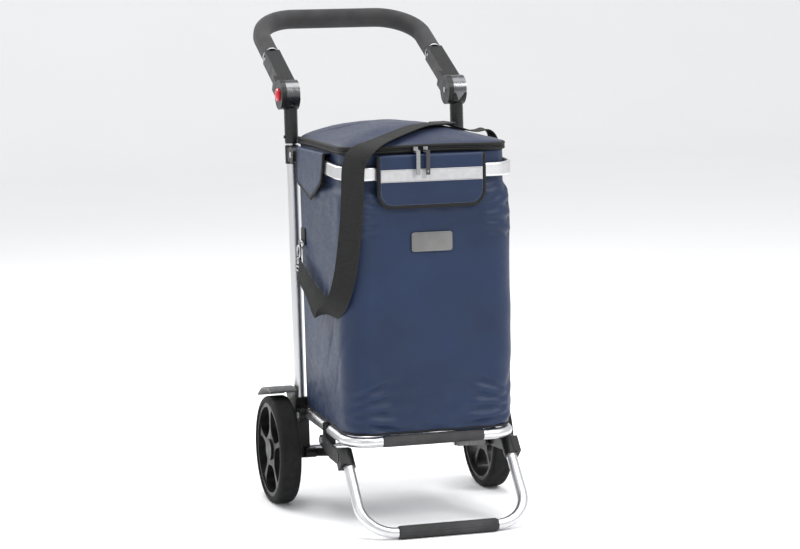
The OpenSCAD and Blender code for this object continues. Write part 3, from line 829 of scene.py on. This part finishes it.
def spline(rows, t):
    """Catmull-Rom through the rows."""
    i = min(len(rows) - 2, int(t))
    u = t - i
    a, b, c, d = (rows[max(0, min(len(rows) - 1, i + k))] for k in (-1, 0, 1, 2))
    return [
        0.5 * (2 * q + (r - p) * u + (2 * p - 5 * q + 4 * r - s) * u * u + (3 * q - p - 3 * r + s) * u**3)
        for p, q, r, s in zip(a, b, c, d)
    ]


def ribbon(name, rows, half_w, half_t, step, look, body, nodes):
    """Ribbed webbing along the rows, with rounded selvedges; gives its length in metres too."""
    fine = [spline(rows, (len(rows) - 1) * k / 2400) for k in range(2401)]
    path, acc = [fine[0]], 0.0
    for a, b in zip(fine, fine[1:]):
        acc += math.dist(a[:3], b[:3])
        if acc >= step:
            path.append(b)
            acc = 0.0
    top = [(-0.985, 0.75), (-0.93, 1.0), (-0.5, 0.9), (0.0, 0.88), (0.5, 0.9), (0.93, 1.0), (0.985, 0.75)]
    section = [(-1.0, 0.0)] + top + [(1.0, 0.0)] + [(-u, -v) for u, v in top]
    points = []
    for i, row in enumerate(path):
        p = Vector(row[:3])
        along = (Vector(path[min(len(path) - 1, i + 1)][:3]) - Vector(path[max(0, i - 1)][:3])).normalized()
        a = math.radians(row[3])
        across = Vector((math.cos(a), math.sin(a), 0))
        across = (across - along * across.dot(along)).normalized()
        up = along.cross(across).normalized()
        thick = half_t * (1.0 if i % 2 else 0.62)
        points += [p + across * (u * half_w) + up * (v * thick) for u, v in section]
    faces = tube_faces(len(path), len(section))
    o = piece(name, points, faces, look, body, nodes, shade=False)
    return o, sum(math.dist(a[:3], b[:3]) for a, b in zip(path, path[1:])) * MM


def rounded_box(name, centre, size, look, bevel, turn=0.0):
    """A softly bevelled block on the frame; turn is in degrees about the vertical."""
    hx, hy, hz = (s / 2 for s in size)
    corners = [Vector((x, y, z)) for x in (-hx, hx) for y in (-hy, hy) for z in (-hz, hz)]
    m = Matrix.Rotation(math.radians(turn), 3, "Z")
    pts = [Vector(centre) + m @ c for c in corners]
    faces = [(0, 1, 3, 2), (4, 6, 7, 5), (0, 4, 5, 1), (2, 3, 7, 6), (0, 2, 6, 4), (1, 5, 7, 3)]
    o = piece(name, pts, faces, look, "frame")
    modifier(o, "BEVEL", width=bevel * MM, segments=3, limit_method="ANGLE")
    return apply_modifiers(o)


def wire(name, path, r, closed=False, nodes=()):
    """A bent wire of the fittings' metal; any direction that it never runs along serves as its up."""
    up = lambda _: Vector((0.31, 0.55, 0.77))
    o = bead(name, path, 2 * r, 2 * r, "zip_metal", "frame", up, closed, 12)
    if nodes:
        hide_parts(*nodes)


def arc(cx, y0, z0, r, a0, a1, steps, stretch):
    """Points of an arc in the plane x = cx."""
    return [
        (cx, y0 + r * math.cos(math.radians(a0 + (a1 - a0) * k / steps)),
         z0 + stretch * r * math.sin(math.radians(a0 + (a1 - a0) * k / steps)))
        for k in range(steps + 1)
    ]


def lie_on(rows, lid):
    """The rows, with those over the lid lowered or raised until the webbing just lies on it."""
    tree = mesh_tree(lid)
    above, gap, right_edge, rim = 700, 2.4, 125, 570
    out = []
    for x, y, z, turn in rows:
        a, tops = math.radians(turn), []
        for k in (-1, -0.5, 0, 0.5, 1):
            start = place((x + STRAP_HALF * k * math.cos(a), y + STRAP_HALF * k * math.sin(a), above))
            hit = tree.ray_cast(start, -UP_Z)[0]
            if hit:
                tops.append((hit.z - AXLE_Z) / MM)
        over = len(tops) >= 3 and x < right_edge and z > rim
        out.append((x, y, max(tops) + gap if over else z, turn))
    return out


def make_strap(lid):
    rows = lie_on(STRAP, lid)
    strap, long = ribbon(
        "strap_webbing", rows, STRAP_HALF, 1.25, 1.35, "webbing", "frame", ["shoulder_strap"]
    )
    make_tri_glide(spline(rows, 9.2))
    for side, tag in SIDES:
        make_strap_end(side, tag)


def make_tri_glide(row):
    """The slide that sets the strap's length, on the webbing at a row."""
    c, turn = Vector(row[:3]), row[3]
    a = math.radians(turn)
    across = Vector((math.cos(a), math.sin(a), 0))
    along = Vector((-across.y, across.x, 0))
    for k, off in enumerate((-14, 0, 14)):
        p = c + along * off + Vector((0, 0, 1.9))
        rounded_box(f"tri_glide_bar_{k}", p, (46, 4.2, 3.4), "black", 1.4, turn)
    for k, s in enumerate((-1, 1)):
        p = c + across * (s * 22.5) + Vector((0, 0, 1.2))
        rounded_box(f"tri_glide_side_{k}", p, (3.6, 32, 4.4), "black", 1.4, turn)


def make_strap_end(side, tag):
    """The tab and ring on the bag, and the snap hook and loop on the strap's end."""
    x, y = side * RING_X, RING_Y
    ring_x, hook_x = x - side * 1.5, x + side * 3.5
    rounded_box(f"ring_tab_{tag}", (side * 160.4, y, 401), (3.0, 27, 30), "webbing", 1.0)
    ring = arc(ring_x, y, 391, 13, 180, 360, 24, 0.95) + [(ring_x, y, 392)]
    wire(f"d_ring_{tag}", ring, 1.9, closed=True, nodes=["strap_rings"])
    wire(f"snap_hook_{tag}", arc(hook_x, y, 372, 9.0, -40, 235, 30, 1.25), 2.5, nodes=["snap_hooks"])
    wire(f"snap_gate_{tag}", [(hook_x, y + 8, 379 - 1.2 * k) for k in range(13)], 1.7)
    rounded_box(f"snap_barrel_{tag}", (hook_x, y, 356), (8.5, 9, 13), "zip_metal", 2.6)
    top, half, tall = (344 if side < 0 else 346), 21, 7
    loop = [(hook_x, y + u * half, top - v * tall) for u, v in ((-1, 0), (1, 0), (1, 1), (-1, 1), (-1, 0))]
    wire(f"strap_loop_{tag}", resample(loop, 2.0), 2.0)


def make_label():
    """A plain plate with a raised rim, and no lettering."""
    centre_z, back_y, shrink_x, shrink_z = 410.5, -309.6, 38, 17.5
    outline = []
    for cx, cz, a0 in ((32.5, 12, 0), (-32.5, 12, 90), (-32.5, -12, 180), (32.5, -12, 270)):
        for k in range(9):
            a = math.radians(a0 + 90 * k / 8)
            outline.append((cx + 5 * math.cos(a), cz + 5 * math.sin(a)))
    n = len(outline)
    points = []
    rings = [(1 - inset / shrink_x, 1 - inset / shrink_z, depth)
             for inset, depth in ((0, 0), (0, 1.6), (0.5, 2.1), (2.0, 2.1), (2.4, 1.7))]
    rings.append((0.2, 0.02, 1.7))
    for kx, kz, depth in rings:
        points += [(x * kx, back_y - depth, centre_z + z * kz) for x, z in outline]
    faces = tube_faces(len(rings), n)
    piece("label_badge", points, faces, "label", "frame", ["label_plate"], shade=False)


# Handle rings and sleeves


def make_grip_rings():
    """The bright oval rings on the arms, where the foam ends."""
    arm_x, ring_at, half_x, half_over, count = 161.5, 148.9, 15.4, 18.0, 48
    hinge_y = ARM_HINGE_Z * math.tan(LEAN)
    up = Vector((0, math.sin(ARM_TILT), math.cos(ARM_TILT)))
    over = Vector((0, math.cos(ARM_TILT), -math.sin(ARM_TILT)))
    for side, tag in SIDES:
        centre = Vector((side * arm_x, hinge_y, ARM_HINGE_Z)) + up * ring_at
        path = []
        for k in range(count):
            a = 2 * math.pi * k / count
            path.append(centre + Vector((half_x * math.cos(a), 0, 0)) + over * (half_over * math.sin(a)))
        away = lambda p, c=centre: Vector(p) - c
        bead(f"grip_ring_{tag}", path, 2.6, 1.8, "steel", "handle", away, closed=True)


def sleeve(name, centre_y, centre_z, half, r, node, body, ribs):
    """A moulded sleeve with soft ends, and shallow grooves along it where it has ribs."""
    rows, sides, bore = 150, 96, 9.6
    points = []
    for i in range(rows):
        t = -1 + 2 * i / (rows - 1)
        end = 1 - 0.16 * smooth(0.93, 1.0, abs(t)) ** 2
        for k in range(sides):
            a = 2 * math.pi * k / sides
            groove = 0.0
            if ribs:
                groove = 0.55 * smooth(0.25, 0.9, math.cos(ribs * a)) * smooth(0.96, 0.9, abs(t))
            rr = (r + 0.5 - groove) * end + 0.15 * wobble((t * half, k, 0), 18, 3.0)
            points.append((half * t, centre_y + rr * math.cos(a), centre_z + rr * math.sin(a)))
    faces = grid_faces(rows, sides, True)
    inner = len(points)
    for x in (-half, half):
        for k in range(sides):
            a = 2 * math.pi * k / sides
            points.append((x, centre_y + bore * math.cos(a), centre_z + bore * math.sin(a)))
    last = (rows - 1) * sides
    for k in range(sides):
        d = (k + 1) % sides
        faces.append((k, inner + k, inner + d, d))
        faces.append((last + d, inner + sides + d, inner + sides + k, last + k))
        faces.append((inner + k, inner + sides + k, inner + sides + d, inner + d))
    return piece(name, points, faces, "sleeve", body, [node])


def make_sleeves():
    """The sleeves on the stand's foot and the tray's front, where the CAD has them."""
    for node, name, body, ribs in (
        ("stand_foot", "foot_pad", "stand", 14),
        ("tray_sleeve", "tray_pad", "tray", 0),
    ):
        lo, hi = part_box(node)
        y = ((lo.y + hi.y) / 2 - AXLE_Y) / MM
        z = ((lo.z + hi.z) / 2 - AXLE_Z) / MM
        half, r = (hi.x - lo.x) / 2 / MM, (hi.z - lo.z) / 2 / MM - 0.6
        sleeve(name, y, z, half, r, node, body, ribs)


def flatten_bag():
    """Gives each of the bag's soft pieces its own copy of its mesh; the metal fittings are left as they are.
    """
    soft = (
        "bag_shell", "base_piping", "side_", "front_flap_", "reflective_tape", "tape_stitches_",
        "strap_webbing", "lid_dome", "zip_welt_", "zip_coil", "tri_glide_", "label_badge",
    )
    for o in list(bpy.context.scene.objects):
        if o.type == "MESH" and o.name.startswith(soft):
            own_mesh(o)


# The studio


def make_floor():
    """A pale floor that curves up into a far wall; sizes in metres."""
    size, front, back, bend, height = 30.0, -15.0, 7.6, 1.5, 10.0
    mesh = bpy.data.meshes.new("floor")
    pts, faces = [], []
    profile = [(front, 0.0)] + [(back * k / 8, 0.0) for k in range(9)]
    for degrees in range(6, 91, 6):
        turn = math.radians(degrees)
        profile.append((back + bend * math.sin(turn), bend - bend * math.cos(turn)))
    profile.append((back + bend, height))
    for y, z in profile:
        pts += [(-size / 2, y, z), (size / 2, y, z)]
    for k in range(len(profile) - 1):
        faces.append((2 * k, 2 * k + 1, 2 * k + 3, 2 * k + 2))
    mesh.from_pydata(pts, [], faces)
    for f in mesh.polygons:
        f.use_smooth = True
    floor = bpy.data.objects.new("floor", mesh)
    bpy.context.scene.collection.objects.link(floor)
    s = Shader("floor_mat", (0.97, 0.97, 0.97), 0.95, Specular_IOR_Level=0.0)
    s.colors(s.noise(2, 2), (0.965, 0.965, 0.965), (0.975, 0.975, 0.975))
    floor.data.materials.append(s.mat)


def make_lights():
    """An even pale world, and four soft lights: place in metres, power and width."""
    world = bpy.data.worlds.new("studio")
    bpy.context.scene.world = world
    world.use_nodes = True
    background = world.node_tree.nodes["Background"]
    background.inputs["Color"].default_value = (0.98, 0.985, 1.0, 1.0)
    background.inputs["Strength"].default_value = 0.82
    for name, at, power, wide in (
        ("key", (1.9, -2.6, 2.9), 85, 1.4),
        ("fill", (-2.6, -1.6, 1.9), 10, 1.8),
        ("top", (0.0, -0.3, 3.2), 62, 2.0),
        ("rim", (-1.6, 2.2, 2.2), 40, 1.4),
    ):
        light = bpy.data.lights.new(name, "AREA")
        light.energy = power
        light.size = wide
        o = bpy.data.objects.new(name, light)
        bpy.context.scene.collection.objects.link(o)
        o.location = at
        o.rotation_mode = "QUATERNION"
        o.rotation_quaternion = (LIGHTS_AIM - Vector(at)).to_track_quat("-Z", "Y")


def make_camera():
    """The camera at the photograph's viewing angle: rolled, tilted, then swung round the vertical."""
    cam = bpy.data.cameras.new("camera")
    cam.lens = CAMERA_LENS
    cam.sensor_width = CAMERA_SENSOR
    o = bpy.data.objects.new("camera", cam)
    bpy.context.scene.collection.objects.link(o)
    x, y, z = CAMERA_AT
    turn = Matrix.Rotation(math.radians(CAMERA_AZIMUTH), 4, "Z")
    turn = turn @ Matrix.Rotation(math.radians(90 - CAMERA_ELEVATION), 4, "X")
    turn = turn @ Matrix.Rotation(math.radians(CAMERA_ROLL), 4, "Z")
    o.matrix_world = Matrix.Translation((x, y + AXLE_Y, z)) @ turn
    bpy.context.scene.camera = o
    bpy.context.scene.view_settings.view_transform = "Standard"


make_floor()
make_lights()
make_camera()
paint_nodes()
shell = make_bag()
make_piping(shell)
make_front_flap()
make_side_flaps()
lid_shell = make_lid()
make_zip()
make_strap(lid_shell)
make_label()
make_grip_rings()
make_sleeves()
flatten_bag()
